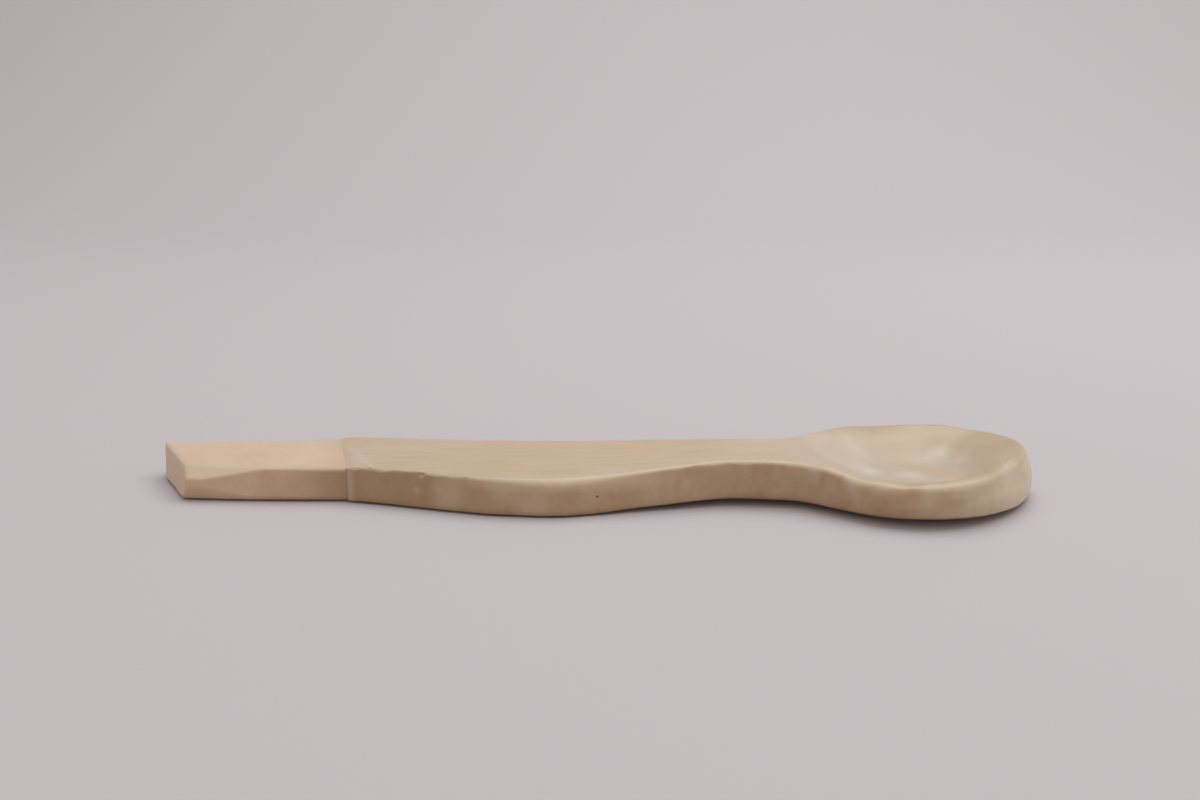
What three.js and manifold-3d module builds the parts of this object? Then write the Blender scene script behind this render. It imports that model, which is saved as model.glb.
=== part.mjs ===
// A hand-built stoneware spoon, in millimetres, +Z up.
// It is cut from a clay slab, its bowl is pressed in and its neck is arched, and it is glazed by dipping
// while it is held by the tip of the handle. So it is a fired clay body, bare at the tip and underneath,
// and a glaze coat that is fused over the rest of it.
// The handle lies along X with the bowl at +X. The origin is under the middle of the spoon, on the table.

import * as THREE from "three";
import Module from "manifold-3d";

const wasm = await Module();
wasm.setup();

// Lengths along the spoon, each measured from the middle of the tip's end face.
const BARE_LENGTH = 26.5; // to the glaze line
const WAIST_AT = 25; // to the narrow stretch behind the tip
const BELLY_AT = 59; // to the widest place of the handle
const NECK_AT = 92; // to the narrowest place, before the bowl
const BOWL_CENTRE_AT = 116.2; // to the middle of the bowl

// Widths of the bare clay, and how far the middle of each lies to the far side of the long axis.
const TIP_WIDTH = 15.2;
const TIP_OFFSET = 3.3;
const WAIST_WIDTH = 17.4;
const WAIST_OFFSET = 4.2;
const BELLY_WIDTH = 22.2;
const BELLY_OFFSET = -0.9;
const NECK_WIDTH = 12.4;
const BOWL_WIDTH = 35;
const BOWL_HALF_LENGTH = 19.4; // from the bowl's middle to its end, and to where its shoulders start
const BOWL_END_OFFSET = 2.2; // the bowl's end leans to the far side
const NECK_FILLET = 5.6; // how softly the neck runs into the bowl
const SHOULDER_POWER = 0.82; // 0.5 is an ellipse; more makes the shoulders leaner
const END_POWER = 0.66; // the same for the bowl's end

// The near wall of the handle is cut in straight knife strokes. These are the corners between them.
const WAIST_CORNER_AT = 30;
const BELLY_FRONT_AT = 51;
const BELLY_FRONT_INSET = 1; // how much nearer to the long axis it lies than the belly's other corner
const BELLY_BACK_AT = 62.3;
const NECK_CORNER_AT = 87.3;
const NECK_FLARE = 3.2; // how much the last stroke runs out towards the bowl's middle
const CORNER_SOFTNESS = 2.4; // how far each corner is rounded to its sides

// Heights of the bare clay above the table.
const SLAB_THICKNESS = 5.6;
const NECK_THICKNESS = 6.2;
const NECK_LIFT = 0.85; // the arch under the neck
const ARCH_START_AT = 59; // where the handle leaves the table
const RIM_HEIGHT = 6.6;
const RIM_END_RISE = 1; // the rim climbs towards the bowl's end
const BOWL_DEPTH = 4.2;
const FLOOR_SHARE = 0.38; // how much of the way from the bowl's lowest place to its rim is level
const HOLLOW_START_AT = 98.5; // where the neck starts to dip into the bowl
const DEEPEST_AT = 119.5; // the bowl's lowest place, nearer to its end than to the neck
const RIM_WIDTH = 1.6;
const UNDER_SIDE_RISE = 1.1; // the bowl's underside climbs to its sides

// Edges and walls. The handle's walls lean in from foot to top between the glaze line and the belly. The
// bowl's wall leans out from its foot to its rim, but in at its end, and swells between them.
const TOP_EDGE_RADIUS = 0.45;
const WORN_EDGE_RADIUS = 1.3; // of the near top edge, just past the belly
const WORN_EDGE_AT = 63;
const WORN_EDGE_REACH = 12; // to each side of that place
const FOOT_EDGE_RADIUS = 0.5;
const RIM_RADIUS = 1.4;
const BOWL_FOOT_RADIUS = 1.4;
const HANDLE_LEAN = 0.5;
const HANDLE_LEAN_AT = 42;
const BOWL_LEAN = 0.4;
const BOWL_END_LEAN = 0.7;
const WALL_BULGE = 0.5;

// The tip's end is cut askew and leans, and its corners are trimmed by knife strokes, three at the near one
// and one at the far one. Along means along the wall, and back means across the end face, both measured
// from the corner.
const END_CUT_DEGREES = 30.5;
const END_LEAN = 1.1; // how far the end face's foot stands out past its top
const UPPER_STROKE_LENGTH = 14; // along, at the top
const UPPER_STROKE_BACK = 3.2; // at the top
const UPPER_STROKE_LOW_AT = 2.95; // along, where it reaches lowest
const UPPER_STROKE_DROP = 1.8;
const CORNER_STROKE_LENGTH = 2.1; // along
const CORNER_STROKE_BACK = 0.6; // at the foot
const LOWER_STROKE_LENGTH = 11; // along, at the foot
const LOWER_STROKE_BACK = 1.1; // at the foot
const LOWER_STROKE_HIGH_AT = 2.35; // along, where it reaches highest
const LOWER_STROKE_HEIGHT = 2.4;
const FAR_STROKE_LENGTH = 3; // along, at the foot
const FAR_STROKE_BACK = 4; // at the foot
const FAR_STROKE_TOP_BACK = 0.5; // at the top

// The glaze coat: a film over the top and the walls, down to a line above the foot.
const GLAZE_FILM = 0.27;
const GLAZE_EDGE_FILM = 0.12; // at the glaze line, where it runs out thin
const GLAZE_RAMP = 1.6; // from the glaze line to the full film
const GLAZE_LINE_DEGREES = 14.3;
const GLAZE_SEAT = 0.06; // clearance between the film and the clay

// How finely the skin is divided.
const TIP_STEPS = 8;
const HANDLE_STEPS = 34;
const BOWL_END_STEPS = 16;
const ACROSS_STEPS = 12;
const FOOT_STEPS = 3;
const WALL_STEPS = 3;
const EDGE_STEPS = 4;
const OUTLINE_STEP = 0.05;

const CLAY_COLOUR = "#cdb49c";
const GLAZE_COLOUR = "#c5af93";

const bowlEndAt = BOWL_CENTRE_AT + BOWL_HALF_LENGTH;

// A smooth climb from 0 at a to 1 at b, level at both ends.
function climb(x, a, b) {
  const t = THREE.MathUtils.clamp((x - a) / (b - a), 0, 1);
  return t * t * (3 - 2 * t);
}

// The larger of two widths, rounded over where they are alike.
function softMax(a, b, fillet) {
  const overlap = Math.max(fillet - Math.abs(a - b), 0);
  return Math.max(a, b) + (overlap * overlap) / (4 * fillet);
}

// A value that runs smoothly through a few stations along the handle.
function along(x, stations) {
  let value = stations[0][1];
  for (let i = 1; i < stations.length; i++) {
    const [start, from] = stations[i - 1];
    const [end, to] = stations[i];
    if (x >= start) value = THREE.MathUtils.lerp(from, to, climb(x, start, end));
  }
  return value;
}

// Distance of the handle's far wall from the long axis: a smooth curve.
function farReach(x) {
  return along(x, [
    [0, TIP_WIDTH / 2 + TIP_OFFSET],
    [WAIST_AT, WAIST_WIDTH / 2 + WAIST_OFFSET],
    [BELLY_AT, BELLY_WIDTH / 2 + BELLY_OFFSET],
    [NECK_AT, NECK_WIDTH / 2],
  ]);
}

// Distance of the handle's near wall from the long axis: straight strokes with soft corners between them.
function nearReach(x) {
  const belly = BELLY_WIDTH / 2 - BELLY_OFFSET;
  const corners = [
    [0, TIP_WIDTH / 2 - TIP_OFFSET],
    [WAIST_CORNER_AT, WAIST_WIDTH / 2 - WAIST_OFFSET],
    [BELLY_FRONT_AT, belly - BELLY_FRONT_INSET],
    [BELLY_BACK_AT, belly],
    [NECK_CORNER_AT, NECK_WIDTH / 2],
    [BOWL_CENTRE_AT, NECK_WIDTH / 2 + NECK_FLARE],
  ];
  let reach = corners[0][1];
  let slope = 0;
  for (let i = 0; i + 1 < corners.length; i++) {
    const [start, from] = corners[i];
    const [end, to] = corners[i + 1];
    const nextSlope = (to - from) / (end - start);
    reach += (nextSlope - slope) * softMax(x - start, 0, CORNER_SOFTNESS);
    slope = nextSlope;
  }
  return reach;
}

// Half the bowl's width at x: lean shoulders towards the neck, a rounder curve towards the end.
function bowlReach(x) {
  const share = (x - BOWL_CENTRE_AT) / BOWL_HALF_LENGTH;
  const power = share < 0 ? SHOULDER_POWER : END_POWER;
  return (BOWL_WIDTH / 2) * Math.max(1 - share * share, 0) ** power;
}

// The long axis, which leaves the straight line past the bowl's middle.
function axis(x) {
  const share = Math.max(x - BOWL_CENTRE_AT, 0) / BOWL_HALF_LENGTH;
  return BOWL_END_OFFSET * share * share;
}

// A point on the spoon's outline, seen from above.
function outline(x, side) {
  const bowl = bowlReach(x);
  const handle = side < 0 ? nearReach(x) : farReach(x);
  const reach = x < BOWL_CENTRE_AT ? softMax(handle, bowl, NECK_FILLET) : bowl;
  return new THREE.Vector2(x, axis(x) + side * reach);
}

// How much of the bowl's shape a section has: none at the neck, all of it from the bowl's middle on.
function bowlShare(x) {
  return climb(x, NECK_AT, BOWL_CENTRE_AT);
}

// The underside: flat from the tip to the belly, arched under the neck, rounded under the bowl.
function footHeight(x, y) {
  const arch = NECK_LIFT * climb(x, ARCH_START_AT, NECK_AT) * (1 - bowlShare(x));
  const fromAxis = (y - axis(x)) / (BOWL_WIDTH / 2);
  return arch + UNDER_SIDE_RISE * bowlShare(x) * fromAxis * fromAxis;
}

// The line of the top edge: the slab's thickness on the handle, the rim's height round the bowl.
function edgeHeight(x) {
  const neck = NECK_LIFT + NECK_THICKNESS;
  const handle = THREE.MathUtils.lerp(SLAB_THICKNESS, neck, climb(x, ARCH_START_AT, NECK_AT));
  const rim = RIM_HEIGHT + RIM_END_RISE * climb(x, BOWL_CENTRE_AT, bowlEndAt);
  return THREE.MathUtils.lerp(handle, rim, bowlShare(x));
}

// The top surface: the edge's height, less the hollow of the bowl, which has a level floor and is steeper
// at its end.
function topHeight(x, y) {
  const hollowEnd = x < DEEPEST_AT ? HOLLOW_START_AT : bowlEndAt - RIM_WIDTH;
  const lengthShare = (x - DEEPEST_AT) / (hollowEnd - DEEPEST_AT);
  const widthShare = (y - axis(x)) / (BOWL_WIDTH / 2 - RIM_WIDTH);
  const radius = Math.hypot(lengthShare, widthShare);
  return edgeHeight(x) - BOWL_DEPTH * (1 - climb(radius, FLOOR_SHARE, 1));
}

// How far a section is turned from square to the axis, as a slope: the end cut's at the tip, the glaze
// line's where the glaze starts, and none from the belly on.
function askew(x) {
  const endCut = Math.tan(THREE.MathUtils.degToRad(END_CUT_DEGREES));
  const glazeLine = Math.tan(THREE.MathUtils.degToRad(GLAZE_LINE_DEGREES));
  if (x < BARE_LENGTH) return THREE.MathUtils.lerp(endCut, glazeLine, x / BARE_LENGTH);
  return glazeLine * (1 - climb(x, BARE_LENGTH, BELLY_AT));
}

// The place on the outline where the section at x meets it.
function wallPlace(x, side) {
  const middle = (outline(x, 1).y + outline(x, -1).y) / 2;
  return outline(x - askew(x) * (outline(x, side).y - middle), side);
}

// The direction from a wall into the spoon: along the section on the handle, square to the outline on
// the bowl.
function inwards(x, side) {
  if (x >= bowlEndAt) return new THREE.Vector2(-1, 0);
  const across = wallPlace(x, -side).sub(wallPlace(x, side)).normalize();
  const run = outline(x + OUTLINE_STEP, side).sub(outline(x - OUTLINE_STEP, side)).normalize();
  const square = new THREE.Vector2(side * run.y, -side * run.x);
  return across.lerp(square, bowlShare(x)).normalize();
}

// One wall of a section, from the underside up to the inner edge of the rim.
function wall(x, side) {
  const place = wallPlace(x, side);
  const into = inwards(x, side);
  const foot = footHeight(x, place.y);
  const edge = edgeHeight(x);
  const toEnd = climb(x, BOWL_CENTRE_AT, bowlEndAt);
  const footInset = THREE.MathUtils.lerp(BOWL_LEAN, -BOWL_END_LEAN, toEnd) * bowlShare(x);
  const topInset = along(x, [[0, 0], [HANDLE_LEAN_AT, HANDLE_LEAN], [BELLY_AT, 0]]);
  const footRadius = THREE.MathUtils.lerp(FOOT_EDGE_RADIUS, BOWL_FOOT_RADIUS, climb(x, BELLY_AT, NECK_AT));
  const worn = side < 0 ? 1 - climb(Math.abs(x - WORN_EDGE_AT), 0, WORN_EDGE_REACH) : 0;
  const handleRadius = THREE.MathUtils.lerp(TOP_EDGE_RADIUS, WORN_EDGE_RADIUS, worn);
  const edgeRadius = THREE.MathUtils.lerp(handleRadius, RIM_RADIUS, bowlShare(x));
  const points = [];
  const add = (inset, z) => {
    const spot = place.clone().addScaledVector(into, inset);
    points.push(new THREE.Vector3(spot.x, spot.y, z));
  };
  for (let i = 0; i <= FOOT_STEPS; i++) {
    const angle = (Math.PI / 2) * (i / FOOT_STEPS);
    add(footInset + footRadius * (1 - Math.sin(angle)), foot + footRadius * (1 - Math.cos(angle)));
  }
  const wallFoot = foot + footRadius;
  const wallTop = edge - edgeRadius;
  for (let i = 1; i < WALL_STEPS; i++) {
    const share = i / WALL_STEPS;
    const bulge = WALL_BULGE * bowlShare(x) * 4 * share * (1 - share);
    const inset = THREE.MathUtils.lerp(footInset, topInset, share) - bulge;
    add(inset, THREE.MathUtils.lerp(wallFoot, wallTop, share));
  }
  for (let i = 0; i <= EDGE_STEPS; i++) {
    const angle = (Math.PI / 2) * (i / EDGE_STEPS);
    add(topInset + edgeRadius * (1 - Math.cos(angle)), edge - edgeRadius * (1 - Math.sin(angle)));
  }
  const rim = place.clone().addScaledVector(into, topInset + RIM_WIDTH);
  add(topInset + RIM_WIDTH, topHeight(rim.x, rim.y));
  return points;
}

// Points between two places, at the heights that a surface has there.
function bridge(from, to, height) {
  const points = [];
  for (let i = 1; i < ACROSS_STEPS; i++) {
    const point = from.clone().lerp(to, i / ACROSS_STEPS);
    point.z = height(point.x, point.y);
    points.push(point);
  }
  return points;
}

// How far a section leans out towards the tip's end at height z: most at its foot, none from the glaze on.
function endLean(x, z) {
  return END_LEAN * Math.max(1 - x / BARE_LENGTH, 0) * (1 - z / SLAB_THICKNESS);
}

// A section of the spoon: up the near wall, over the top, down the far wall and back underneath.
function section(x) {
  const near = wall(x, -1);
  const far = wall(x, 1).reverse();
  const top = bridge(near[near.length - 1], far[0], topHeight);
  const under = bridge(far[far.length - 1], near[0], footHeight);
  const ring = [...near, ...top, ...far, ...under];
  for (const point of ring) point.x -= endLean(x, point.z);
  return ring;
}

// Places along the spoon where a section is drawn, with the glaze line and the end of its ramp among them.
function stations() {
  const places = [];
  for (let i = 0; i <= TIP_STEPS; i++) places.push((BARE_LENGTH * i) / TIP_STEPS);
  const rampEnd = BARE_LENGTH + GLAZE_RAMP;
  for (let i = 0; i < HANDLE_STEPS; i++) {
    places.push(THREE.MathUtils.lerp(rampEnd, BOWL_CENTRE_AT, i / HANDLE_STEPS));
  }
  for (let i = 0; i <= BOWL_END_STEPS; i++) {
    const angle = (Math.PI / 2) * (i / BOWL_END_STEPS);
    places.push(BOWL_CENTRE_AT + BOWL_HALF_LENGTH * Math.sin(angle));
  }
  return places;
}

// A skin through closed rings of points, each four-cornered patch split along its shorter diagonal.
// Points that meet, as they do at the bowl's end, become one.
function skin(rings, firstFace) {
  const index = new Map();
  const points = [];
  const triangles = [];
  const vertex = (point) => {
    const key = point.toArray().map((value) => value.toFixed(4)).join();
    if (!index.has(key)) {
      index.set(key, points.length);
      points.push(point);
    }
    return index.get(key);
  };
  const face = (...corners) => {
    const used = corners.map(vertex);
    if (new Set(used).size === 3) triangles.push(...used);
  };
  firstFace(rings[0], face);
  for (let i = 0; i + 1 < rings.length; i++) {
    const here = rings[i];
    const ahead = rings[i + 1];
    here.forEach((a, j) => {
      const next = (j + 1) % here.length;
      const b = ahead[j];
      const c = ahead[next];
      const d = here[next];
      if (a.distanceTo(c) < b.distanceTo(d)) {
        face(a, b, c);
        face(a, c, d);
      } else {
        face(a, b, d);
        face(b, c, d);
      }
    });
  }
  const geometry = new THREE.BufferGeometry().setFromPoints(points);
  geometry.setIndex(triangles);
  geometry.computeVertexNormals();
  return { geometry, vertex };
}

// The flat end of the tip, as a fan about its middle.
function endFace(ring, face) {
  const middle = ring.reduce((sum, point) => sum.add(point), new THREE.Vector3());
  middle.divideScalar(ring.length);
  ring.forEach((point, j) => face(middle, point, ring[(j + 1) % ring.length]));
}

// The thin edge of the film at the glaze line: outer points and inner points, joined in pairs.
function filmEdge(ring, face) {
  const last = ring.length - 1;
  for (let j = 0; j + 1 < ring.length / 2; j++) {
    face(ring[j], ring[j + 1], ring[last - j - 1]);
    face(ring[j], ring[last - j - 1], ring[last - j]);
  }
}

// A knife stroke: the plane through three points, facing into the clay.
function stroke(a, b, c, inside) {
  const plane = new THREE.Plane().setFromCoplanarPoints(a, b, c);
  return plane.distanceToPoint(inside) > 0 ? plane : plane.negate();
}

const places = stations();
const sections = places.map(section);
const clay = skin(sections, endFace);

// The body: the whole skin filled with clay, less what the knife strokes take off the tip's corners.
const nearCorner = wallPlace(0, -1);
const farCorner = wallPlace(0, 1);
const endWidth = nearCorner.distanceTo(farCorner);
const endwards = farCorner.clone().sub(nearCorner).normalize();
const raise = (place, z) => new THREE.Vector3(place.x, place.y, z);
const onEnd = (back, z) => {
  const spot = raise(nearCorner.clone().addScaledVector(endwards, back), z);
  spot.x -= endLean(0, z);
  return spot;
};
const onWall = (distance, z) => raise(outline(nearCorner.x + distance, -1), z);
const inTip = raise(outline(BARE_LENGTH, 1).multiplyScalar(0.5), SLAB_THICKNESS / 2);
const upperStroke = stroke(
  onEnd(UPPER_STROKE_BACK, SLAB_THICKNESS),
  onWall(UPPER_STROKE_LENGTH, SLAB_THICKNESS),
  onWall(UPPER_STROKE_LOW_AT, SLAB_THICKNESS - UPPER_STROKE_DROP),
  inTip,
);
const cornerStroke = stroke(
  onEnd(CORNER_STROKE_BACK, 0),
  onWall(CORNER_STROKE_LENGTH, 0),
  onWall(CORNER_STROKE_LENGTH, SLAB_THICKNESS),
  inTip,
);
const lowerStroke = stroke(
  onEnd(LOWER_STROKE_BACK, 0),
  onWall(LOWER_STROKE_LENGTH, 0),
  onWall(LOWER_STROKE_HIGH_AT, LOWER_STROKE_HEIGHT),
  inTip,
);
const farStroke = stroke(
  onEnd(endWidth - FAR_STROKE_BACK, 0),
  onEnd(endWidth - FAR_STROKE_TOP_BACK, SLAB_THICKNESS),
  raise(outline(farCorner.x + FAR_STROKE_LENGTH, 1), 0),
  inTip,
);

let trimmed = new wasm.Manifold(
  new wasm.Mesh({
    numProp: 3,
    vertProperties: new Float32Array(clay.geometry.attributes.position.array),
    triVerts: new Uint32Array(clay.geometry.index.array),
  }),
);
for (const plane of [upperStroke, cornerStroke, lowerStroke, farStroke]) {
  const size = [BARE_LENGTH + TIP_WIDTH, 2 * TIP_WIDTH, 3 * SLAB_THICKNESS];
  const tipBlock = wasm.Manifold.cube(size).translate([-TIP_WIDTH, -TIP_WIDTH, -SLAB_THICKNESS]);
  const outwards = plane.normal.clone().negate();
  trimmed = trimmed.subtract(tipBlock.trimByPlane(outwards.toArray(), plane.constant));
}
const cut = trimmed.getMesh();
const bodyGeometry = new THREE.BufferGeometry();
bodyGeometry.setAttribute("position", new THREE.BufferAttribute(cut.vertProperties, 3));
bodyGeometry.setIndex(new THREE.BufferAttribute(cut.triVerts, 1));

// The glaze coat: the stretch of the skin from the glaze line to the bowl's end, and from the foot of the
// near wall over the top to the foot of the far one, raised off the clay and given the film's thickness.
const wallCount = wall(0, 1).length;
const coatStart = FOOT_STEPS - 1;
const coatEnd = 2 * wallCount + ACROSS_STEPS - 2 - coatStart;
const normals = clay.geometry.attributes.normal;

function raised(point, height) {
  const normal = new THREE.Vector3().fromBufferAttribute(normals, clay.vertex(point));
  return point.clone().addScaledVector(normal, height);
}

const coatRings = sections.slice(TIP_STEPS).map((ring, i) => {
  const covered = ring.slice(coatStart, coatEnd + 1);
  const outer = covered.map((point, j) => {
    const atEdge = i === 0 || j === 0 || j === covered.length - 1;
    return raised(point, GLAZE_SEAT + (atEdge ? GLAZE_EDGE_FILM : GLAZE_FILM));
  });
  const inner = covered.map((point) => raised(point, GLAZE_SEAT));
  return [...outer, ...inner.reverse()];
});
const coatGeometry = skin(coatRings, filmEdge).geometry;

const clayFinish = new THREE.MeshStandardMaterial({ color: CLAY_COLOUR, roughness: 0.85 });
const body = new THREE.Mesh(bodyGeometry, clayFinish);
body.name = "stoneware_body";

const glazeFinish = new THREE.MeshStandardMaterial({ color: GLAZE_COLOUR, roughness: 0.35 });
const coat = new THREE.Mesh(coatGeometry, glazeFinish);
coat.name = "glaze_coat";

// The spoon, moved so that the origin is under its middle.
const spoon = new THREE.Group();
spoon.name = "spoon";
spoon.add(body, coat);
const bounds = new THREE.Box3().setFromObject(spoon);
const middle = bounds.getCenter(new THREE.Vector3()).setZ(bounds.min.z);
for (const piece of spoon.children) piece.position.copy(middle).negate();

export default spoon;
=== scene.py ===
# A small hand-built stoneware spoon, lying on a pale table.
# The clay body and its glaze coat are made as they were put together: the fired clay first, then the
# glaze that it was dipped in, and at the end the table, the light and the camera.
import math

import bpy
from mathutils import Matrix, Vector
from mathutils.bvhtree import BVHTree
from mathutils.kdtree import KDTree


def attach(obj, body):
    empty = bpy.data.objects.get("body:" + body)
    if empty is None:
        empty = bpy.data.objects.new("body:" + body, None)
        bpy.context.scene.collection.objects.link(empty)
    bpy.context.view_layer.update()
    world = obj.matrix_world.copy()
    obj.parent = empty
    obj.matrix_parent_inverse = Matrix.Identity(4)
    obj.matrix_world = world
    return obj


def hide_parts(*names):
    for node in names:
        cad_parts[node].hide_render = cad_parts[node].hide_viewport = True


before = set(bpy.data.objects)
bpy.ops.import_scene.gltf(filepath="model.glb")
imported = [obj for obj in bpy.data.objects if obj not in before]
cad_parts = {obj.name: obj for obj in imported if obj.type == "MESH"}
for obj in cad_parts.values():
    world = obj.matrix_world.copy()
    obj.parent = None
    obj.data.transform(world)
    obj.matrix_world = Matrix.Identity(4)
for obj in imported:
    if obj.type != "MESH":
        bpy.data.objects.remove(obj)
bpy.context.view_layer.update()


# The clay body: sandy stoneware, cut from a rolled slab with a knife, its bowl pressed in and its neck
# arched by hand. It is bare at the tip of the handle and underneath, and the glaze hides the rest.
MM = 0.001


def copy_of(node_name, piece_name):
    """A new piece that starts as a copy of a CAD node, with its loose triangles merged."""
    bpy.ops.object.select_all(action="DESELECT")
    piece = bpy.data.objects.new(piece_name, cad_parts[node_name].data.copy())
    bpy.context.scene.collection.objects.link(piece)
    bpy.context.view_layer.objects.active = piece
    piece.select_set(True)
    bpy.ops.object.mode_set(mode="EDIT")
    bpy.ops.mesh.select_all(action="SELECT")
    bpy.ops.mesh.remove_doubles(threshold=0.002 * MM)
    bpy.ops.object.mode_set(mode="OBJECT")
    piece.data.materials.clear()
    return piece


def finish_with(piece, kind, **settings):
    """Adds a modifier with its settings and applies it."""
    bpy.context.view_layer.objects.active = piece
    modifier = piece.modifiers.new(kind, kind)
    for name, value in settings.items():
        setattr(modifier, name, value)
    bpy.ops.object.modifier_apply(modifier=modifier.name)


def weigh(piece, group, share):
    """Weighs each point of a piece from its place in millimetres and the way it faces."""
    weights = piece.vertex_groups.new(name=group)
    for point in piece.data.vertices:
        weights.add([point.index], share(point.co / MM, point.normal), "REPLACE")


def climb(value, low, high):
    """A smooth climb from 0 at low to 1 at high."""
    way = min(max((value - low) / (high - low), 0), 1)
    return way * way * (3 - 2 * way)


# The waves that hands leave in soft clay, about 11 mm long, the finer lumps on them, and the dents of
# the fingers that pinched up the wall of the bowl.
WAVE_HEIGHT = 0.34 * MM
LUMP_HEIGHT = 0.08 * MM
DENT_DEPTH = 0.45 * MM
hand_waves = bpy.data.textures.new("hand_waves", "CLOUDS")
hand_waves.noise_scale = 11 * MM
hand_waves.noise_depth = 1
clay_lumps = bpy.data.textures.new("clay_lumps", "CLOUDS")
clay_lumps.noise_scale = 3.2 * MM
clay_lumps.noise_depth = 1
finger_dents = bpy.data.textures.new("finger_dents", "CLOUDS")
finger_dents.noise_scale = 6 * MM
finger_dents.noise_depth = 0


def worked(place, facing):
    """The share of hand work: none on the flat that lies on the table."""
    return climb(facing.z, -0.9, -0.4)


def pinched(place, facing):
    """The share of the finger dents: the upper wall and the rim of the bowl."""
    return worked(place, facing) * climb(place.x, 34, 44) * climb(place.z, 2.5, 6)


# Where a thumb went over the clay, in millimetres, how often it smoothed it, and how deep it pressed.
THUMB_AT = Vector((42.5, -16, 6.8))
THUMB_STROKES = 80
THUMB_PRESS = 0.6 * MM


def thumbed(place, facing):
    """The share of the near shoulder of the bowl, which a thumb rounded over and pressed down."""
    return (1 - climb((place - THUMB_AT).length, 3, 10)) * climb(place.z, 2.5, 4.5)


def work_by_hand(piece):
    """Gives a piece the unevenness of hand work."""
    for share in (worked, pinched, thumbed):
        weigh(piece, share.__name__, share)
    finish_with(piece, "SMOOTH", factor=0.5, iterations=THUMB_STROKES, vertex_group="thumbed")
    finish_with(
        piece,
        "DISPLACE",
        direction="Z",
        strength=-THUMB_PRESS,
        mid_level=0,
        vertex_group="thumbed",
    )
    for texture, height, group in (
        (hand_waves, WAVE_HEIGHT, "worked"),
        (clay_lumps, LUMP_HEIGHT, "worked"),
        (finger_dents, DENT_DEPTH, "pinched"),
    ):
        finish_with(
            piece,
            "DISPLACE",
            texture=texture,
            texture_coords="LOCAL",
            strength=height,
            mid_level=0.5,
            vertex_group=group,
        )


def foot(place, facing):
    """The share of the foot, where the walls meet the table."""
    return 1 - climb(place.z, 0.4, 1.2)


clay_body = copy_of("stoneware_body", "clay_body")
clay_skin = BVHTree.FromPolygons(
    [v.co.copy() for v in clay_body.data.vertices],
    [tuple(p.vertices) for p in clay_body.data.polygons],
)
finish_with(clay_body, "REMESH", mode="VOXEL", voxel_size=0.33 * MM, use_smooth_shade=True)
finish_with(clay_body, "SMOOTH", factor=0.5, iterations=6)

# The underside is a little crowned. It rests on its middle, and its edges clear the table. The crown
# reaches 2.5 mm in from the foot of the walls.
CROWN = 0.27 * MM
CROWN_REACH = 2.5
FOOT_HEIGHT = 0.6 * MM
low_points = [v for v in clay_body.data.vertices if v.co.z < FOOT_HEIGHT]
wall_foot = [v.co / MM for v in low_points if v.normal.z > -0.5]
foot_ring = KDTree(len(wall_foot))
for number, point in enumerate(wall_foot):
    foot_ring.insert(point, number)
foot_ring.balance()


def crowned(place, facing):
    """The share of the underside's edges, which fades towards its middle and up the walls."""
    inward = foot_ring.find(place)[2]
    return (1 - climb(inward, 0, CROWN_REACH)) * (1 - climb(place.z, 0.2, 1.2))


weigh(clay_body, "crowned", crowned)
finish_with(clay_body, "DISPLACE", direction="Z", strength=CROWN, mid_level=0, vertex_group="crowned")
weigh(clay_body, "foot", foot)
finish_with(clay_body, "SMOOTH", factor=0.5, iterations=8, vertex_group="foot")
work_by_hand(clay_body)

# The glaze line crosses the handle askew. Places towards the tip lie at a negative distance from it.
LINE_ASKEW = math.radians(14.3)
LINE_ACROSS = Vector((math.cos(LINE_ASKEW), math.sin(LINE_ASKEW), 0))
LINE_AT = Vector((-39.8, 4.2, 0)).dot(LINE_ACROSS)


def linear(hex_colour):
    """An sRGB hex colour as the linear colour that a shader takes."""
    channels = [int(hex_colour[i : i + 2], 16) / 255 for i in (1, 3, 5)]
    return [c / 12.92 if c <= 0.04045 else ((c + 0.055) / 1.055) ** 2.4 for c in channels] + [1.0]


def new_finish(name):
    """A new material whose nodes are still to come."""
    finish = bpy.data.materials.new(name)
    finish.use_nodes = True
    finish.node_tree.nodes.clear()
    return finish


def add_node(tree, kind, inputs=None, **settings):
    """Adds a shader node with its settings, and fills its inputs with values or with links.

    Inputs go by name or number. A Map Range takes its value at 0, the range that it comes from at 1 and 2,
    and the range that it goes to at 3 and 4. A colour Mix takes its share at 0 and its colours at 6
    and 7.
    """
    made = tree.nodes.new(kind)
    for name, value in settings.items():
        setattr(made, name, value)
    for key, value in (inputs or {}).items():
        if isinstance(value, bpy.types.NodeSocket):
            tree.links.new(value, made.inputs[key])
        else:
            made.inputs[key].default_value = value
    return made


# Bare sandy stoneware, fired and never glazed: matt and pinkish tan, with soft clouds, fine sand that
# shows as dark and pale grains, drag marks where the knife went, and a warm flush in front of the glaze.
sandy_stoneware = new_finish("sandy_stoneware")
tree = sandy_stoneware.node_tree
coordinates = add_node(tree, "ShaderNodeTexCoord")
mm = add_node(
    tree, "ShaderNodeVectorMath", {0: coordinates.outputs["Object"], "Scale": 1000}, operation="SCALE"
)
spot = add_node(tree, "ShaderNodeSeparateXYZ", {0: mm.outputs[0]})
facing = add_node(tree, "ShaderNodeSeparateXYZ", {0: coordinates.outputs["Normal"]})
on_wall = add_node(tree, "ShaderNodeMapRange", {0: facing.outputs["Z"], 1: 0.5, 2: 0.1})

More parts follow.
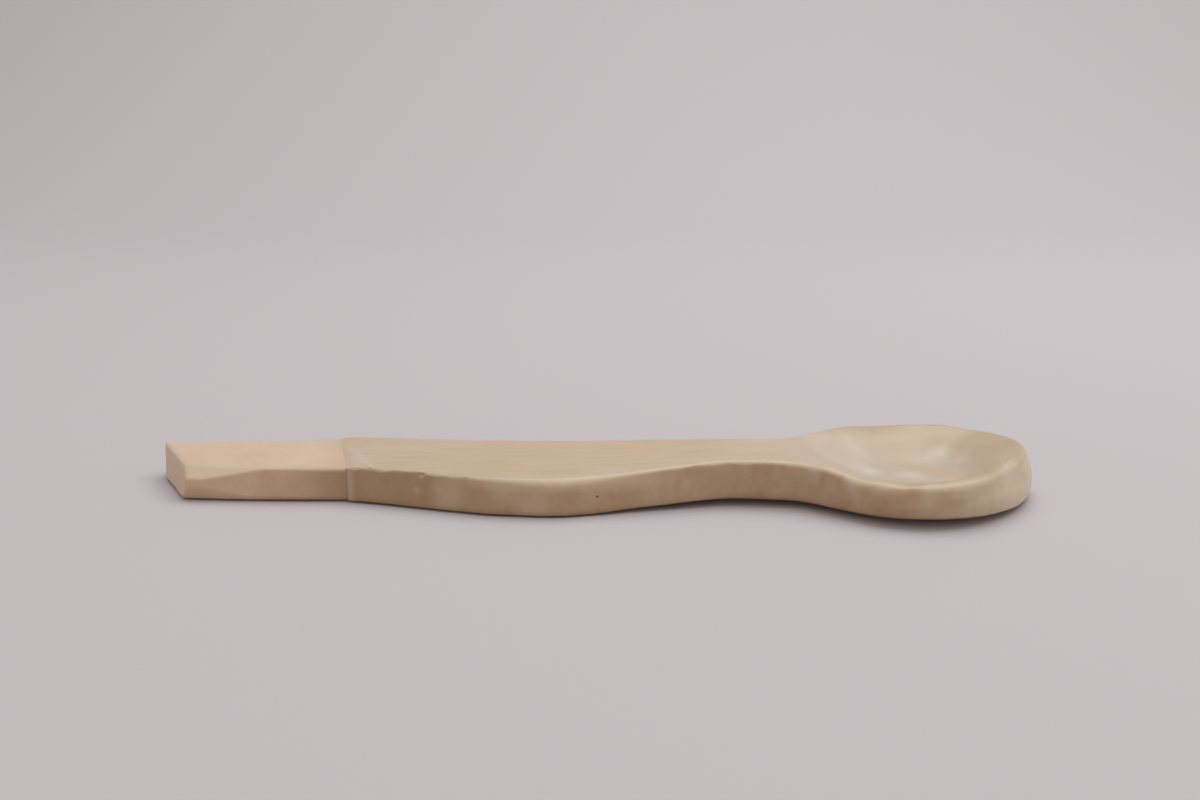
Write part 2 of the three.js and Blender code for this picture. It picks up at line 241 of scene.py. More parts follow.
# Clouds 7 mm across, from uneven drying. The walls are painted browner than the top, as painted shade.
clouds = add_node(tree, "ShaderNodeTexNoise", {"Vector": mm.outputs[0], "Scale": 1 / 7, "Detail": 3})
cloudy = add_node(tree, "ShaderNodeMapRange", {0: clouds.outputs[0], 1: 0.36, 2: 0.66})
top_clay = add_node(
    tree,
    "ShaderNodeMix",
    {0: cloudy.outputs[0], 6: linear("#d5bea6"), 7: linear("#d0b79f")},
    data_type="RGBA",
)
wall_clay_in_shade = add_node(
    tree,
    "ShaderNodeMix",
    {0: cloudy.outputs[0], 6: linear("#dbba9b"), 7: linear("#cfab8c")},
    data_type="RGBA",
)
clay = add_node(
    tree,
    "ShaderNodeMix",
    {0: on_wall.outputs[0], 6: top_clay.outputs[2], 7: wall_clay_in_shade.outputs[2]},
    data_type="RGBA",
)

# The cut end is painted the palest and greyest of the walls, as painted light, and they pale towards it.
to_end = add_node(tree, "ShaderNodeMapRange", {0: spot.outputs["X"], 1: -50, 2: -68, 4: 0.2})
paling = add_node(
    tree, "ShaderNodeMath", {0: to_end.outputs[0], 1: on_wall.outputs[0]}, operation="MULTIPLY"
)
paled = add_node(
    tree,
    "ShaderNodeMix",
    {0: paling.outputs[0], 6: clay.outputs[2], 7: linear("#e1c8af")},
    data_type="RGBA",
)
lit_end_share = add_node(tree, "ShaderNodeMapRange", {0: facing.outputs["X"], 1: -0.5, 2: -0.8, 4: 0.7})
greyed = add_node(
    tree,
    "ShaderNodeMix",
    {0: lit_end_share.outputs[0], 6: paled.outputs[2], 7: linear("#e0c7b2")},
    data_type="RGBA",
)

# The edges and the upper knife stroke are painted paler, as painted light, with a little wear on the
# edges.
# Under the lower stroke, the faces that turn down are painted darker, as painted shade.
off_flat = add_node(tree, "ShaderNodeMapRange", {0: facing.outputs["Z"], 1: 0.97, 2: 0.85, 4: 0.5})
pale_share = add_node(
    tree, "ShaderNodeMapRange", {0: facing.outputs["Z"], 1: 0.3, 2: 0.5, 4: off_flat.outputs[0]}
)
paled_more = add_node(
    tree,
    "ShaderNodeMix",
    {0: pale_share.outputs[0], 6: greyed.outputs[2], 7: linear("#e2cbb0")},
    data_type="RGBA",
)
painted_shade_share = add_node(tree, "ShaderNodeMapRange", {0: facing.outputs["Z"], 1: -0.08, 2: -0.22, 4: 0.3})
shaded = add_node(
    tree,
    "ShaderNodeMix",
    {0: painted_shade_share.outputs[0], 6: paled_more.outputs[2], 7: linear("#b69276")},
    data_type="RGBA",
)

# Sand: dark and pale grains, 0.3 mm across. The smoothed top shows less of it than the cut walls.
sand = add_node(tree, "ShaderNodeTexNoise", {"Vector": mm.outputs[0], "Scale": 1 / 0.3, "Detail": 2})
sandiness = add_node(tree, "ShaderNodeMapRange", {0: on_wall.outputs[0], 3: 0.06, 4: 0.15})
dark_grains = add_node(
    tree, "ShaderNodeMapRange", {0: sand.outputs[0], 1: 0.56, 2: 0.72, 4: sandiness.outputs[0]}
)
pale_grains = add_node(
    tree, "ShaderNodeMapRange", {0: sand.outputs[0], 1: 0.44, 2: 0.28, 4: sandiness.outputs[0]}
)
darkened = add_node(
    tree,
    "ShaderNodeMix",
    {0: dark_grains.outputs[0], 6: shaded.outputs[2], 7: linear("#8f6f53")},
    data_type="RGBA",
)
sanded = add_node(
    tree,
    "ShaderNodeMix",
    {0: pale_grains.outputs[0], 6: darkened.outputs[2], 7: linear("#e6d4bf")},
    data_type="RGBA",
)

# The flush: towards the glaze line the clay fired warmer, a little on the top and the underside, and
# much more on the walls.
from_line = add_node(
    tree, "ShaderNodeVectorMath", {0: mm.outputs[0], 1: LINE_ACROSS}, operation="DOT_PRODUCT"
)
top_flush = add_node(
    tree, "ShaderNodeMapRange", {0: from_line.outputs["Value"], 1: LINE_AT - 4, 2: LINE_AT, 4: 0.25}
)
warmed = add_node(
    tree,
    "ShaderNodeMix",
    {0: top_flush.outputs[0], 6: sanded.outputs[2], 7: linear("#bd9a78")},
    data_type="RGBA",
)
on_side = add_node(
    tree,
    "ShaderNodeMapRange",
    {0: facing.outputs["Z"], 1: -0.7, 2: -0.4, 3: 0.2, 4: on_wall.outputs[0]},
)
wall_flush = add_node(
    tree,
    "ShaderNodeMapRange",
    {0: from_line.outputs["Value"], 1: LINE_AT - 9, 2: LINE_AT, 4: on_side.outputs[0]},
)
flushed = add_node(
    tree,
    "ShaderNodeMix",
    {0: wall_flush.outputs[0], 6: warmed.outputs[2], 7: linear("#ad8c6f")},
    data_type="RGBA",
)

# Drag marks: the knife pulled the sand along the handle, 6 mm at a time.
dragged = add_node(
    tree, "ShaderNodeVectorMath", {0: mm.outputs[0], 1: (1 / 6, 2, 2)}, operation="MULTIPLY"
)
drag = add_node(tree, "ShaderNodeTexNoise", {"Vector": dragged.outputs[0], "Scale": 1, "Detail": 2})
relief = add_node(tree, "ShaderNodeMath", {0: sand.outputs[0], 1: drag.outputs[0]}, operation="ADD")
grain = add_node(
    tree, "ShaderNodeBump", {"Strength": 0.7, "Distance": 0.06 * MM, "Height": relief.outputs[0]}
)
clay_shader = add_node(
    tree,
    "ShaderNodeBsdfPrincipled",
    {"Base Color": flushed.outputs[2], "Roughness": 0.88, "IOR": 1.45, "Normal": grain.outputs[0]},
)
add_node(tree, "ShaderNodeOutputMaterial", {"Surface": clay_shader.outputs[0]})

clay_body.data.materials.append(sandy_stoneware)
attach(clay_body, "root")
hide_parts("stoneware_body")


# The glaze coat: a clear satin glaze, taken up by dipping the spoon while it was held by the tip. It ends
# in a small bead at the glaze line, and it was wiped from the underside before the firing.
FILM = 0.2 * MM
WIPED = 0.4 * MM


def past_line(place):
    """How far a place in millimetres lies past the glaze line, towards the bowl."""
    return place.dot(LINE_ACROSS) - LINE_AT


def hidden(face):
    """Whether a face of the coat lies against the clay, or is the film's cut face at the line or foot."""
    at_line = past_line(face.center / MM) < 0.5 and face.normal.dot(LINE_ACROSS) < -0.8
    return at_line or face.normal.z < -0.9 or clay_skin.find_nearest(face.center)[3] < 0.15 * MM


def choose(piece, kind, wanted):
    """Goes into edit mode with only the wanted faces or edges of a piece selected."""
    bpy.ops.object.mode_set(mode="EDIT")
    bpy.ops.mesh.select_mode(type=kind)
    bpy.ops.mesh.select_all(action="DESELECT")
    bpy.ops.object.mode_set(mode="OBJECT")
    parts = piece.data.polygons if kind == "FACE" else piece.data.edges
    for part in parts:
        part.select = wanted(part)
    bpy.ops.object.mode_set(mode="EDIT")


def part_lengthwise(piece, shortest, furthest, cuts):
    """Parts the edges that run along the spoon, are long enough and lie near enough to the glaze line."""

    def runs_along(edge):
        """Whether an edge is one of those."""
        start, end = [piece.data.vertices[i].co / MM for i in edge.vertices]
        along = abs(end.x - start.x)
        far = max(past_line(start), past_line(end))
        return along > shortest and along > 0.8 * (end - start).length and far < furthest

    choose(piece, "EDGE", runs_along)
    bpy.ops.mesh.subdivide(number_cuts=cuts, smoothness=0)
    bpy.ops.object.mode_set(mode="OBJECT")


glaze_coat = copy_of("glaze_coat", "satin_glaze_coat")
choose(glaze_coat, "FACE", hidden)
bpy.ops.mesh.delete(type="FACE")

# A few slivers of the outer skin go with the hidden faces, and the slits that they leave are closed.
bpy.ops.mesh.select_all(action="SELECT")
bpy.ops.mesh.fill_holes(sides=6)
bpy.ops.mesh.select_all(action="SELECT")
bpy.ops.mesh.tris_convert_to_quads(face_threshold=math.pi, shape_threshold=math.pi)
bpy.ops.mesh.faces_shade_smooth()
bpy.ops.object.mode_set(mode="OBJECT")
part_lengthwise(glaze_coat, shortest=2, furthest=200, cuts=1)
part_lengthwise(glaze_coat, shortest=0.5, furthest=2.5, cuts=3)
finish_with(glaze_coat, "SUBSURF", levels=2, render_levels=2)
work_by_hand(glaze_coat)
bpy.ops.object.mode_set(mode="EDIT")
bpy.ops.mesh.select_all(action="SELECT")
bpy.ops.mesh.bisect(plane_co=(0, 0, WIPED), plane_no=(0, 0, 1), clear_inner=True)
bpy.ops.object.mode_set(mode="OBJECT")

# At the glaze line the film ends in a small bead, sunk a little into the clay so that no gap shows. A
# little past the line a low ridge crosses the top. The near edge of the handle is nicked, with one
# larger chip. Their places and reaches are in millimetres.
SUNK = 0.05 * MM
RIDGE_FROM = Vector((-40.25, 8, 0))
RIDGE_TO = Vector((-34.4, -2.9, 0))
RIDGE_RUN = (RIDGE_TO - RIDGE_FROM).normalized()
RIDGE_ACROSS = Vector((-RIDGE_RUN.y, RIDGE_RUN.x, 0))
RIDGE_AT = RIDGE_FROM.dot(RIDGE_ACROSS)
RIDGE_REACH = 0.45
RIDGE_HEIGHT = 0.05 * MM
CHIP_AT = Vector((-25.4, -7.75, 5.5))
CHIP_REACH = 0.5
CHIP_DEPTH = 0.3 * MM
NICK_DEPTH = 0.22 * MM
edge_nicks = bpy.data.textures.new("edge_nicks", "CLOUDS")
edge_nicks.noise_scale = 1.6 * MM
edge_nicks.noise_depth = 2


def bead(place, facing):
    """The share of the bead, in which the film is drawn down to the clay. It is wider on the top."""
    reach = 0.5 + climb(facing.z, 0.5, 0.9)
    short = 1 - min(max(past_line(place) / reach, 0), 1)
    return short * short


def film(place, facing):
    """The share of the film's thickness, which runs out in the bead."""
    return 1 - 0.85 * bead(place, facing)


def ridge(place, facing):
    """The share of the low ridge, on the top alone."""
    gap = (place.dot(RIDGE_ACROSS) - RIDGE_AT) / RIDGE_REACH
    return climb(facing.z, 0.6, 0.9) * math.exp(-gap * gap)


def nicked(place, facing):
    """The share of the nicks, on the near edge from the line to the belly."""
    on_edge = climb(facing.z, 0.1, 0.4) * (1 - climb(facing.z, 0.85, 0.99))
    return on_edge * climb(-facing.y, 0, 0.2) * (1 - climb(place.x, -24, -8))


def chipped(place, facing):
    """The share of the larger chip."""
    gap = (place - CHIP_AT).length / CHIP_REACH
    return math.exp(-gap * gap)


for share in (bead, film, ridge, nicked, chipped):
    weigh(glaze_coat, share.__name__, share)
finish_with(glaze_coat, "SHRINKWRAP", target=clay_body, offset=-SUNK, vertex_group="bead")
for group, height in (("ridge", RIDGE_HEIGHT), ("chipped", -CHIP_DEPTH)):
    finish_with(glaze_coat, "DISPLACE", strength=height, mid_level=0, vertex_group=group)
finish_with(
    glaze_coat,
    "DISPLACE",
    texture=edge_nicks,
    texture_coords="LOCAL",
    strength=NICK_DEPTH,
    mid_level=0.55,
    vertex_group="nicked",
)
finish_with(glaze_coat, "SOLIDIFY", thickness=FILM, offset=-1, vertex_group="film")

# Clear satin glaze over stoneware: the tan clay shows through it, milky where it is thick, and it mirrors
# the light softly. The walls are painted browner and darker than the top, as painted shade.
satin_glaze = new_finish("satin_glaze")
tree = satin_glaze.node_tree
coordinates = add_node(tree, "ShaderNodeTexCoord")
mm = add_node(
    tree, "ShaderNodeVectorMath", {0: coordinates.outputs["Object"], "Scale": 1000}, operation="SCALE"
)
spot = add_node(tree, "ShaderNodeSeparateXYZ", {0: mm.outputs[0]})
facing = add_node(tree, "ShaderNodeSeparateXYZ", {0: coordinates.outputs["Normal"]})

# Where the top turns into the walls, the edge between the top's colour and the walls' painted shade
# wanders,
# 5 mm at a time. It lies lower on the near rim of the bowl than along the handle, which paints light on
# the rim's rounding, and it is calmer round the end of the bowl.
wander = add_node(tree, "ShaderNodeTexNoise", {"Vector": mm.outputs[0], "Scale": 1 / 5, "Detail": 4})
boundary_wobble = add_node(tree, "ShaderNodeMapRange", {0: wander.outputs[0], 1: 0.3, 2: 0.7, 3: -0.45, 4: 0.45})
calmer = add_node(tree, "ShaderNodeMapRange", {0: spot.outputs["X"], 1: 54, 2: 63, 3: 1, 4: 0.3})
off_top = add_node(
    tree, "ShaderNodeMapRange", {0: facing.outputs["Z"], 1: 0.98, 2: 0.75, 4: calmer.outputs[0]}
)
tilt = add_node(
    tree,
    "ShaderNodeMath",
    {0: boundary_wobble.outputs[0], 1: off_top.outputs[0], 2: facing.outputs["Z"]},
    operation="MULTIPLY_ADD",
)
NEAR_RIM = (45, -17, 6)
to_rim = add_node(tree, "ShaderNodeVectorMath", {0: mm.outputs[0], 1: NEAR_RIM}, operation="DISTANCE")
upper = add_node(tree, "ShaderNodeMapRange", {0: to_rim.outputs["Value"], 1: 18, 2: 8, 3: 0.78, 4: 0.6})
lower = add_node(tree, "ShaderNodeMapRange", {0: to_rim.outputs["Value"], 1: 18, 2: 8, 3: 0.25, 4: 0})
steep = add_node(
    tree, "ShaderNodeMapRange", {0: tilt.outputs[0], 1: upper.outputs[0], 2: lower.outputs[0]}
)

# The hollow of the bowl faces its middle, and its sides keep the colour of the top.
BOWL_CENTRE = (53, 0.8, 4)
to_centre = add_node(
    tree, "ShaderNodeVectorMath", {0: mm.outputs[0], 1: BOWL_CENTRE}, operation="DISTANCE"
)
near_bowl = add_node(tree, "ShaderNodeMapRange", {0: to_centre.outputs["Value"], 1: 18.5, 2: 16.5})
inward = add_node(
    tree, "ShaderNodeVectorMath", {0: BOWL_CENTRE, 1: mm.outputs[0]}, operation="SUBTRACT"
)
turned_in = add_node(
    tree,
    "ShaderNodeVectorMath",
    {0: inward.outputs[0], 1: coordinates.outputs["Normal"]},
    operation="DOT_PRODUCT",
)
in_hollow = add_node(
    tree, "ShaderNodeMapRange", {0: turned_in.outputs["Value"], 1: 1, 2: 4, 4: near_bowl.outputs[0]}
)
on_wall = add_node(tree, "ShaderNodeMapRange", {0: in_hollow.outputs[0], 3: steep.outputs[0], 4: 0})

# The top: yellowish tan, with pinker clouds 14 mm across and faint streaks along the handle.
clouds = add_node(tree, "ShaderNodeTexNoise", {"Vector": mm.outputs[0], "Scale": 1 / 14, "Detail": 3})
cloudy = add_node(tree, "ShaderNodeMapRange", {0: clouds.outputs[0], 1: 0.4, 2: 0.64})
top_glaze = add_node(
    tree,
    "ShaderNodeMix",
    {0: cloudy.outputs[0], 6: linear("#c9b18f"), 7: linear("#c9b49d")},
    data_type="RGBA",
)
drawn_out = add_node(
    tree, "ShaderNodeVectorMath", {0: mm.outputs[0], 1: (1 / 12, 0.75, 0)}, operation="MULTIPLY"
)
streaks = add_node(
    tree, "ShaderNodeTexNoise", {"Vector": drawn_out.outputs[0], "Scale": 1, "Detail": 2}
)
on_handle = add_node(tree, "ShaderNodeMapRange", {0: spot.outputs["X"], 1: 34, 2: 24, 3: 0.1, 4: 0.36})
streaky = add_node(
    tree, "ShaderNodeMapRange", {0: streaks.outputs[0], 1: 0.45, 2: 0.75, 4: on_handle.outputs[0]}
)
streaked = add_node(
    tree,
    "ShaderNodeMix",
    {0: streaky.outputs[0], 6: top_glaze.outputs[2], 7: linear("#b39a78")},
    data_type="RGBA",
)

# The bowl: a pinker floor, nearer to the near side, crossed by a yellowish band from the far shoulder to
# the near side of the end. The glaze lies thicker and darker in it than on the handle.
FLOOR_CENTRE = (48, 0, 3)
FLOOR_SQUEEZE = (0.8, 1.1, 0.5)
BAND_ACROSS = Vector((12.9, 11, 0)).normalized()
BAND_AT = Vector((45.5, 14.1, 0)).dot(BAND_ACROSS)
to_bowl = add_node(tree, "ShaderNodeMapRange", {0: spot.outputs["X"], 1: 37, 2: 48, 4: 0.6})
thickened = add_node(
    tree,
    "ShaderNodeMix",
    {0: to_bowl.outputs[0], 6: streaked.outputs[2], 7: linear("#b39d82")},
    data_type="RGBA",
)
from_floor = add_node(
    tree, "ShaderNodeVectorMath", {0: mm.outputs[0], 1: FLOOR_CENTRE}, operation="SUBTRACT"
)
squeezed = add_node(
    tree, "ShaderNodeVectorMath", {0: from_floor.outputs[0], 1: FLOOR_SQUEEZE}, operation="MULTIPLY"
)
to_floor = add_node(tree, "ShaderNodeVectorMath", {0: squeezed.outputs[0]}, operation="LENGTH")
in_bowl = add_node(tree, "ShaderNodeMapRange", {0: to_floor.outputs["Value"], 1: 15, 2: 9, 4: 0.9})
floored = add_node(
    tree,
    "ShaderNodeMix",
    {0: in_bowl.outputs[0], 6: thickened.outputs[2], 7: linear("#c3b2a3")},
    data_type="RGBA",
)
swirl = add_node(tree, "ShaderNodeTexNoise", {"Vector": mm.outputs[0], "Scale": 1 / 6, "Detail": 3})
swerve = add_node(tree, "ShaderNodeMapRange", {0: swirl.outputs[0], 3: -3 - BAND_AT, 4: 3 - BAND_AT})
across_band = add_node(
    tree, "ShaderNodeVectorMath", {0: mm.outputs[0], 1: BAND_ACROSS}, operation="DOT_PRODUCT"
)
off_band = add_node(
    tree, "ShaderNodeMath", {0: across_band.outputs["Value"], 1: swerve.outputs[0]}, operation="ADD"
)
band_gap = add_node(tree, "ShaderNodeMath", {0: off_band.outputs[0]}, operation="ABSOLUTE")
band_strength = add_node(tree, "ShaderNodeMapRange", {0: in_bowl.outputs[0], 4: 0.6})
band = add_node(
    tree, "ShaderNodeMapRange", {0: band_gap.outputs[0], 1: 3.2, 2: 0.2, 4: band_strength.outputs[0]}
)
banded = add_node(
    tree,
    "ShaderNodeMix",
    {0: band.outputs[0], 6: floored.outputs[2], 7: linear("#c2aa83")},
    data_type="RGBA",
)

# The walls: painted browner, most of all towards the glaze line, as painted shade, and painted pale round
# the end of the bowl, as painted light. Milky clouds 7 mm across ran down them a little, with fine mottles
# of
# 1.5 mm. The belly's upper wall is paler, in a band with a wandering lower edge.
run_down = add_node(
    tree, "ShaderNodeVectorMath", {0: mm.outputs[0], 1: (1, 1, 0.6)}, operation="MULTIPLY"
)
milk = add_node(
    tree,
    "ShaderNodeTexNoise",
    {"Vector": run_down.outputs[0], "Scale": 1 / 7, "Detail": 4, "Distortion": 0.3},
)
milky = add_node(tree, "ShaderNodeMapRange", {0: milk.outputs[0], 1: 0.45, 2: 0.66, 4: 0.7})
clouded = add_node(
    tree,
    "ShaderNodeMix",
    {0: milky.outputs[0], 6: linear("#ba9876"), 7: linear("#c6a98a")},
    data_type="RGBA",
)
to_line = add_node(tree, "ShaderNodeMapRange", {0: spot.outputs["X"], 1: -10, 2: -24, 4: 0.75})
shade_browned = add_node(
    tree,
    "ShaderNodeMix",
    {0: to_line.outputs[0], 6: clouded.outputs[2], 7: linear("#a88462")},
    data_type="RGBA",
)
to_bowl_end = add_node(tree, "ShaderNodeMapRange", {0: spot.outputs["X"], 1: 44, 2: 66, 4: 0.95})
paled = add_node(
    tree,
    "ShaderNodeMix",
    {0: to_bowl_end.outputs[0], 6: shade_browned.outputs[2], 7: linear("#e4cfb3")},
    data_type="RGBA",
)
mottles = add_node(
    tree, "ShaderNodeTexNoise", {"Vector": run_down.outputs[0], "Scale": 1 / 1.5, "Detail": 4}
)
mottle_most = add_node(tree, "ShaderNodeMapRange", {0: to_bowl_end.outputs[0], 3: 0.25, 4: 0.08})
mottle_share = add_node(
    tree, "ShaderNodeMapRange", {0: mottles.outputs[0], 1: 0.45, 2: 0.75, 4: mottle_most.outputs[0]}
)
mottled = add_node(
    tree,
    "ShaderNodeMix",
    {0: mottle_share.outputs[0], 6: paled.outputs[2], 7: linear("#926f4f")},
    data_type="RGBA",
)
up_wall = add_node(
    tree, "ShaderNodeMath", {0: wander.outputs[0], 1: 2, 2: spot.outputs["Z"]}, operation="MULTIPLY_ADD"
)
pale_height = add_node(tree, "ShaderNodeMapRange", {0: up_wall.outputs[0], 1: 4.6, 2: 6.6, 4: 0.75})
pale_start = add_node(
    tree, "ShaderNodeMapRange", {0: spot.outputs["X"], 1: -24, 2: -14, 4: pale_height.outputs[0]}
)
pale_share = add_node(tree, "ShaderNodeMapRange", {0: spot.outputs["X"], 1: 16, 2: 4, 4: pale_start.outputs[0]})
paled_more = add_node(
    tree,
    "ShaderNodeMix",
    {0: pale_share.outputs[0], 6: mottled.outputs[2], 7: linear("#d6bf9d")},
    data_type="RGBA",
)
glaze = add_node(
    tree,
    "ShaderNodeMix",
    {0: on_wall.outputs[0], 6: banded.outputs[2], 7: paled_more.outputs[2]},
    data_type="RGBA",
)

# In the bowl, pale patches are painted reflections, and where the glaze gathered on the belly's wall it is
# milky. On the way into the bowl and at the near side of its end it is painted pale, as painted light, and
# where it drew away by the rim it broke brown; at the far end of the hollow a brown place is painted
# shade.
# Each place has its middle, its reach, its colour and its strength, and an edge that is ragged by up to 4
# mm and fades over 3 mm.
RAGGED = 4
PAINTED_REFLECTION = "#d8cec6"
PAINTED_LIGHT = "#d3c2b0"
MILKY = "#cbb396"
BROKEN_AND_SHADE = "#a67d54"
SPOTS = (
    ((58.2, 8.2, 4.5), 1.5, PAINTED_REFLECTION, 0.6),
    ((60.3, 5, 4.8), 1.3, PAINTED_REFLECTION, 0.5),
    ((44.7, 2.5, 2.9), 1.9, PAINTED_REFLECTION, 0.75),
    ((51.4, 1, 2.8), 1.6, PAINTED_REFLECTION, 0.75),
    ((40.5, 6, 5.3), 5.5, PAINTED_LIGHT, 0.7),
    ((63.2, -9.3, 7.5), 2.5, PAINTED_LIGHT, 0.6),
    ((-20.8, -9.4, 2.5), 2.2, MILKY, 0.5),
    ((-12.4, -11.5, 4.6), 2, MILKY, 0.5),
    ((-7.9, -12, 1.9), 2.6, MILKY, 0.5),
    ((46.6, -17.3, 5.5), 0.9, BROKEN_AND_SHADE, 0.65),
    ((52, -17.6, 5), 1.1, BROKEN_AND_SHADE, 0.65),
    ((42.2, -15.7, 3), 0.7, BROKEN_AND_SHADE, 0.5),
    # This brown place, at the far end of the hollow, is painted shade.
    ((65, 1.5, 7), 2, BROKEN_AND_SHADE, 0.3),
)
ragged = add_node(tree, "ShaderNodeTexNoise", {"Vector": mm.outputs[0], "Scale": 1 / 2.5, "Detail": 3})
spotted = glaze
for middle, reach, colour, strength in SPOTS:
    away = add_node(tree, "ShaderNodeVectorMath", {0: mm.outputs[0], 1: middle}, operation="DISTANCE")
    gap = add_node(
        tree,
        "ShaderNodeMath",
        {0: ragged.outputs[0], 1: RAGGED, 2: away.outputs["Value"]},
        operation="MULTIPLY_ADD",
    )
    share = add_node(
        tree, "ShaderNodeMapRange", {0: gap.outputs[0], 1: reach + 3.4, 2: reach + 0.4, 4: strength}
    )
    spotted = add_node(
        tree,
        "ShaderNodeMix",
        {0: share.outputs[0], 6: spotted.outputs[2], 7: linear(colour)},
        data_type="RGBA",
    )

# Along the edges the glaze is painted palest, as a painted highlight, and it is darker and warm brown
# towards the foot.
over_edge = add_node(tree, "ShaderNodeMapRange", {0: facing.outputs["Z"], 1: 0.98, 2: 0.85})
under_edge = add_node(tree, "ShaderNodeMapRange", {0: tilt.outputs[0], 1: 0.4, 2: 0.7})
on_edge = add_node(
    tree, "ShaderNodeMath", {0: over_edge.outputs[0], 1: under_edge.outputs[0]}, operation="MULTIPLY"
)
out_of_bowl = add_node(tree, "ShaderNodeMapRange", {0: in_bowl.outputs[0], 3: 0.5, 4: 0})
edge_highlight_share = add_node(
    tree, "ShaderNodeMath", {0: on_edge.outputs[0], 1: out_of_bowl.outputs[0]}, operation="MULTIPLY"
)
edge_highlighted = add_node(
    tree,
    "ShaderNodeMix",
    {0: edge_highlight_share.outputs[0], 6: spotted.outputs[2], 7: linear("#d8c4a6")},
    data_type="RGBA",
)
foot_line = add_node(tree, "ShaderNodeMapRange", {0: spot.outputs["Z"], 1: 1.2, 2: 0.3, 4: 0.6})
footed = add_node(
    tree,
    "ShaderNodeMix",
    {0: foot_line.outputs[0], 6: edge_highlighted.outputs[2], 7: linear("#a47c56")},
    data_type="RGBA",
)

# Past the glaze line comes a paler strip 1 mm wide, and the line itself fired to a thin warm brown.
# Both show on the walls more than on the top. The ridge shows as a pale line, a painted highlight on its
# crest.
from_line = add_node(
    tree, "ShaderNodeVectorMath", {0: mm.outputs[0], 1: LINE_ACROSS}, operation="DOT_PRODUCT"
)
strip_share = add_node(tree, "ShaderNodeMapRange", {0: on_wall.outputs[0], 3: 0.1, 4: 0.5})
strip = add_node(
    tree,
    "ShaderNodeMapRange",
    {0: from_line.outputs["Value"], 1: LINE_AT + 1.5, 2: LINE_AT + 0.7, 4: strip_share.outputs[0]},
)
stripped = add_node(
    tree,
    "ShaderNodeMix",
    {0: strip.outputs[0], 6: footed.outputs[2], 7: linear("#cbb399")},
    data_type="RGBA",
)
line_share = add_node(tree, "ShaderNodeMapRange", {0: on_wall.outputs[0], 3: 0, 4: 0.7})
line = add_node(
    tree,
    "ShaderNodeMapRange",
    {0: from_line.outputs["Value"], 1: LINE_AT + 0.45, 2: LINE_AT + 0.15, 4: line_share.outputs[0]},
)
lined = add_node(
    tree,
    "ShaderNodeMix",
    {0: line.outputs[0], 6: stripped.outputs[2], 7: linear("#a0734d")},
    data_type="RGBA",
)
across_ridge = add_node(
    tree, "ShaderNodeVectorMath", {0: mm.outputs[0], 1: RIDGE_ACROSS}, operation="DOT_PRODUCT"
)
off_ridge = add_node(
    tree, "ShaderNodeMath", {0: across_ridge.outputs["Value"], 1: -RIDGE_AT}, operation="ADD"
)
ridge_gap = add_node(tree, "ShaderNodeMath", {0: off_ridge.outputs[0]}, operation="ABSOLUTE")
ridge_share = add_node(tree, "ShaderNodeMapRange", {0: on_wall.outputs[0], 3: 0.25, 4: 0})
on_ridge = add_node(
    tree, "ShaderNodeMapRange", {0: ridge_gap.outputs[0], 1: 0.6, 2: 0.1, 4: ridge_share.outputs[0]}
)
ridged = add_node(
    tree,
    "ShaderNodeMix",
    {0: on_ridge.outputs[0], 6: lined.outputs[2], 7: linear("#dccdb8")},
    data_type="RGBA",
)

# One dark iron speck on the near wall, 0.4 mm across.
SPECK_AT = (1.35, -11, 3.1)
speck_gap = add_node(
    tree, "ShaderNodeVectorMath", {0: mm.outputs[0], 1: SPECK_AT}, operation="DISTANCE"
)
speck = add_node(tree, "ShaderNodeMapRange", {0: speck_gap.outputs["Value"], 1: 0.24, 2: 0.12, 4: 0.9})
specked = add_node(
    tree,
    "ShaderNodeMix",
    {0: speck.outputs[0], 6: ridged.outputs[2], 7: linear("#3a2a1e")},
    data_type="RGBA",
)

# The surface is like fine orange peel, about 1.5 mm from dip to dip, and its gloss is uneven.
peel = add_node(tree, "ShaderNodeTexNoise", {"Vector": mm.outputs[0], "Scale": 1 / 1.5, "Detail": 2})
gloss = add_node(tree, "ShaderNodeMapRange", {0: clouds.outputs[0], 1: 0.3, 2: 0.7, 3: 0.3, 4: 0.44})
ripple = add_node(
    tree, "ShaderNodeBump", {"Strength": 0.5, "Distance": 0.05 * MM, "Height": peel.outputs[0]}
)
glaze_shader = add_node(
    tree,
    "ShaderNodeBsdfPrincipled",
    {
        "Base Color": specked.outputs[2],
        "Roughness": gloss.outputs[0],
        "IOR": 1.5,
        "Normal": ripple.outputs[0],
    },
)
add_node(tree, "ShaderNodeOutputMaterial", {"Surface": glaze_shader.outputs[0]})

glaze_coat.data.materials.append(satin_glaze)
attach(glaze_coat, "root")
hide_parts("glaze_coat")


# The table: a plain board with matt pale paint, which the spoon lies on. It turns up behind the spoon in
# a wide curve, so that no edge of it is in view. Its sizes are in metres.
TABLE_WIDTH = 6
TABLE_DEPTH = 5
TABLE_SHIFT = -1.7
BACK_LEAN = 0.1
BACK_RISE = 1.6
BACK_CURVE = 0.4


def at_back(edge):
    """Whether an edge of the table is the one behind the spoon."""
    return all(table.data.vertices[i].co.y > 0.5 for i in edge.vertices)


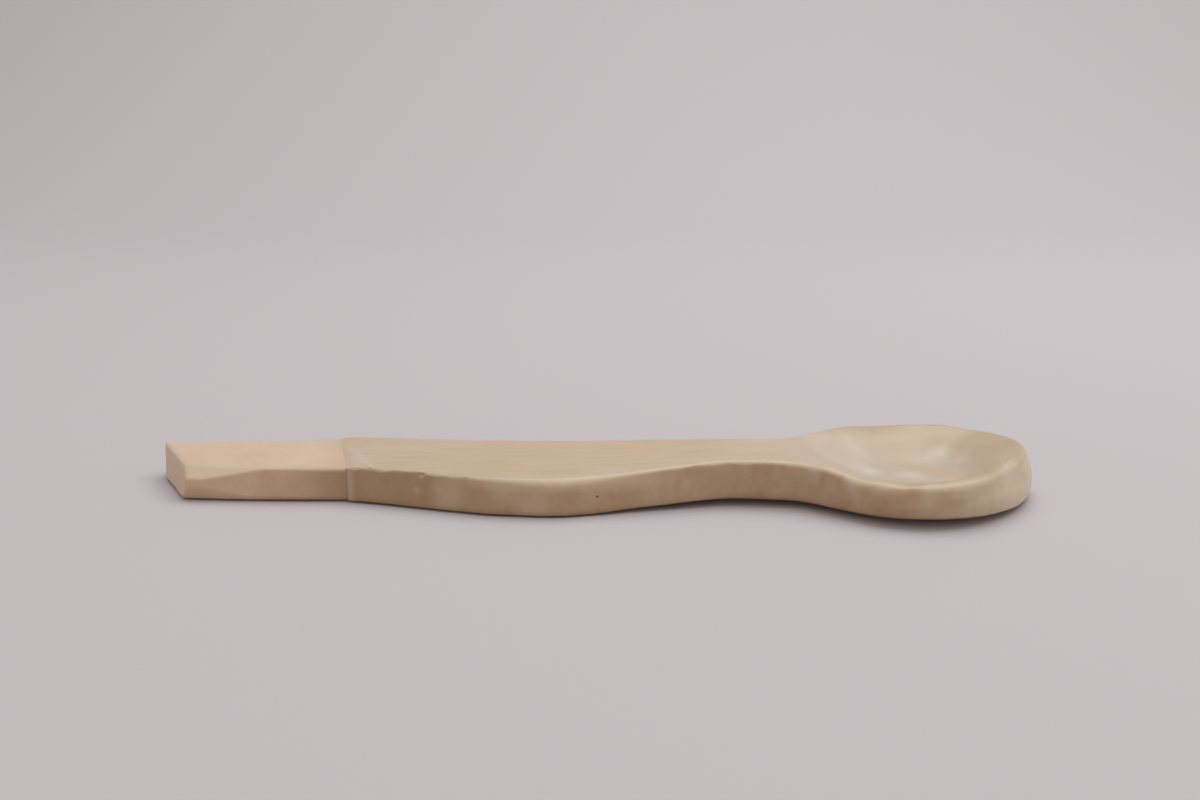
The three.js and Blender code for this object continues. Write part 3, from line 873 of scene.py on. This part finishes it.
bpy.ops.object.select_all(action="DESELECT")
bpy.ops.mesh.primitive_plane_add(size=1, location=(0, 0, 0))
table = bpy.context.object
table.name = "pale_table"
bpy.ops.object.mode_set(mode="EDIT")
bpy.ops.transform.resize(value=(TABLE_WIDTH, TABLE_DEPTH, 1))
bpy.ops.transform.translate(value=(0, TABLE_SHIFT, 0))
choose(table, "EDGE", at_back)
bpy.ops.mesh.extrude_region_move(TRANSFORM_OT_translate={"value": (0, BACK_LEAN, BACK_RISE)})
bpy.ops.object.mode_set(mode="OBJECT")
finish_with(table, "BEVEL", width=BACK_CURVE, segments=24, affect="EDGES", limit_method="ANGLE")
bpy.ops.object.shade_smooth()

# Matt paint on a board: pale grey with a touch of pink, so that the spoon's soft shadow shows on it.
pale_board = new_finish("pale_board")
tree = pale_board.node_tree
board = add_node(tree, "ShaderNodeBsdfPrincipled", {"Base Color": linear("#c5c0c3"), "Roughness": 0.9})
add_node(tree, "ShaderNodeOutputMaterial", {"Surface": board.outputs[0]})
table.data.materials.append(pale_board)

# The light: a wide soft panel above, a little behind and to the right, in an even, slightly warm room.
# The panel's place and sizes are in metres, and its power is in watts.
PANEL_AT = (0.25, 0.2, 0.84)
PANEL_WIDTH = 1
PANEL_DEPTH = 0.8
PANEL_POWER = 5.6
room = bpy.data.worlds.new("pale_room")
bpy.context.scene.world = room
room.use_nodes = True
tree = room.node_tree
tree.nodes.clear()
glow = add_node(tree, "ShaderNodeBackground", {"Color": (1, 0.97, 0.94, 1), "Strength": 0.55})
add_node(tree, "ShaderNodeOutputWorld", {"Surface": glow.outputs[0]})

bpy.ops.object.light_add(type="AREA", location=PANEL_AT)
panel = bpy.context.object
panel.name = "soft_panel"
panel.data.shape = "RECTANGLE"
panel.data.size = PANEL_WIDTH
panel.data.size_y = PANEL_DEPTH
panel.data.energy = PANEL_POWER
panel.rotation_euler = (Vector((0, 0, 0)) - panel.location).to_track_quat("-Z", "Y").to_euler()

# The camera: low in front of the spoon, looking down a little, as the photograph was taken. Its lens and
# sensor are in millimetres.
CAMERA_AT = (1.77 * MM, -181.8 * MM, 59.19 * MM)
CAMERA_DOWN = 13.586
camera_data = bpy.data.cameras.new("camera")
camera_data.lens = 36
camera_data.sensor_width = 36
camera_data.sensor_fit = "HORIZONTAL"
camera_data.clip_start = 0.01
camera = bpy.data.objects.new("camera", camera_data)
bpy.context.scene.collection.objects.link(camera)
camera.location = CAMERA_AT
camera.rotation_euler = (math.radians(90 - CAMERA_DOWN), 0, 0)
bpy.context.scene.camera = camera

bpy.context.scene.view_settings.view_transform = "Standard"
